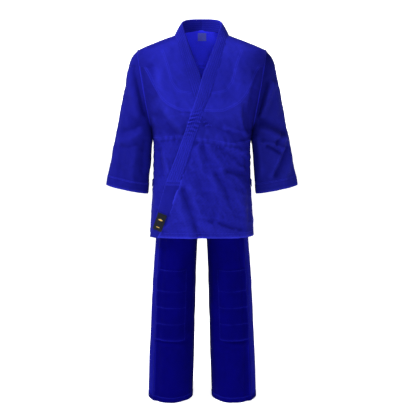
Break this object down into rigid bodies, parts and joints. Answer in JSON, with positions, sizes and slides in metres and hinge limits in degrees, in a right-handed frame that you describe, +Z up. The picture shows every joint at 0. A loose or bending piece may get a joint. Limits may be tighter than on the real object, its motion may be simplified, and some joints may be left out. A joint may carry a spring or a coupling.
{
  "type": "martial arts uniform",
  "caption": "Crossed-over woven jacket with a stiffened lapel band, wide sleeves, side vents and an opening outer front, over straight trousers with quilted knee patches.",
  "frame": {"origin": "on the floor, under the middle of the body", "axes": "+Z up, -Y is the front of the uniform, +X is the wearer's left"},
  "size_m": [0.716, 0.2615, 1.4304],
  "materials": {
    "jacket": "matt woven cotton with a grain of small raised rice-shaped knots",
    "skirt": "matt woven cotton with a fine diamond pattern",
    "lapel": "plain cotton drill with long parallel rows of stitching",
    "trousers": "matt cotton drill",
    "patch": "matt cotton drill, quilted in rows",
    "core": "undyed stiffening strip, hidden inside the band",
    "black_label": "smooth woven satin label",
    "thread": "close thread work: stitched eyelets and a plain sewn label"
  },
  "bodies": {
    "trousers": {"waistband": "trousers", "crotch_gusset": "trousers", "left_drawcord_eyelet": "thread", "right_drawcord_eyelet": "thread", "left_drawcord_loop": "trousers", "right_drawcord_loop": "trousers", "left_trouser_front": "trousers", "right_trouser_front": "trousers", "left_trouser_back": "trousers", "right_trouser_back": "trousers", "left_knee_fold": "trousers", "right_knee_fold": "trousers", "left_knee_patch_upper": "patch", "right_knee_patch_upper": "patch"},
    "left_shin": {"left_shin_front": "trousers", "left_shin_back": "trousers", "left_knee_patch_lower": "patch", "left_trouser_hem": "trousers"},
    "right_shin": {"right_shin_front": "trousers", "right_shin_back": "trousers", "right_knee_patch_lower": "patch", "right_trouser_hem": "trousers"},
    "jacket": {"back_yoke": "jacket", "back_panel": "jacket", "back_waist_skirt": "skirt", "left_chest_yoke": "jacket", "right_chest_yoke": "jacket", "left_front_panel": "jacket", "right_front_panel": "jacket", "left_side_skirt": "skirt", "right_front_skirt": "skirt", "collar": "lapel", "collar_core": "core", "left_lapel_upper": "lapel", "left_lapel_upper_core": "core", "right_lapel": "lapel", "right_lapel_core": "core", "neck_label": "thread", "left_vent_patch": "jacket", "right_vent_patch": "jacket"},
    "outer_front": {"left_front_overlap": "jacket", "left_front_skirt": "skirt", "left_lapel_lower": "lapel", "left_lapel_lower_core": "core", "lapel_label": "black_label"},
    "back_skirt": {"back_skirt": "skirt"},
    "left_sleeve": {"left_sleeve": "jacket", "left_cuff": "lapel"},
    "right_sleeve": {"right_sleeve": "jacket", "right_cuff": "lapel"}
  },
  "joints": [
    {"name": "jacket_lift", "type": "slide", "parent": "trousers", "child": "jacket", "axis": [0, 0, 1], "range_m": [0, 0.5]},
    {"name": "outer_front_open", "type": "hinge", "parent": "jacket", "child": "outer_front", "pos_m": [0.12, -0.149, 0.62], "axis": [-0.0941, 0.0348, 0.995], "range_deg": [0, 60]},
    {"name": "back_skirt_swing", "type": "hinge", "parent": "jacket", "child": "back_skirt", "pos_m": [0, 0.086, 0.81], "axis": [1, 0, 0], "range_deg": [0, 18]},
    {"name": "left_sleeve_raise", "type": "hinge", "parent": "jacket", "child": "left_sleeve", "pos_m": [0.2345, 0, 1.313], "axis": [0, -1, 0], "range_deg": [0, 60]},
    {"name": "right_sleeve_raise", "type": "hinge", "parent": "jacket", "child": "right_sleeve", "pos_m": [-0.2345, 0, 1.313], "axis": [0, 1, 0], "range_deg": [0, 60]},
    {"name": "left_knee_bend", "type": "hinge", "parent": "trousers", "child": "left_shin", "pos_m": [0.1058, -0.0985, 0.4325], "axis": [1, 0, 0], "range_deg": [0, 45], "deforming": ["left_knee_fold"]},
    {"name": "right_knee_bend", "type": "hinge", "parent": "trousers", "child": "right_shin", "pos_m": [-0.1058, -0.0985, 0.4325], "axis": [1, 0, 0], "range_deg": [0, 45], "deforming": ["right_knee_fold"]}
  ]
}
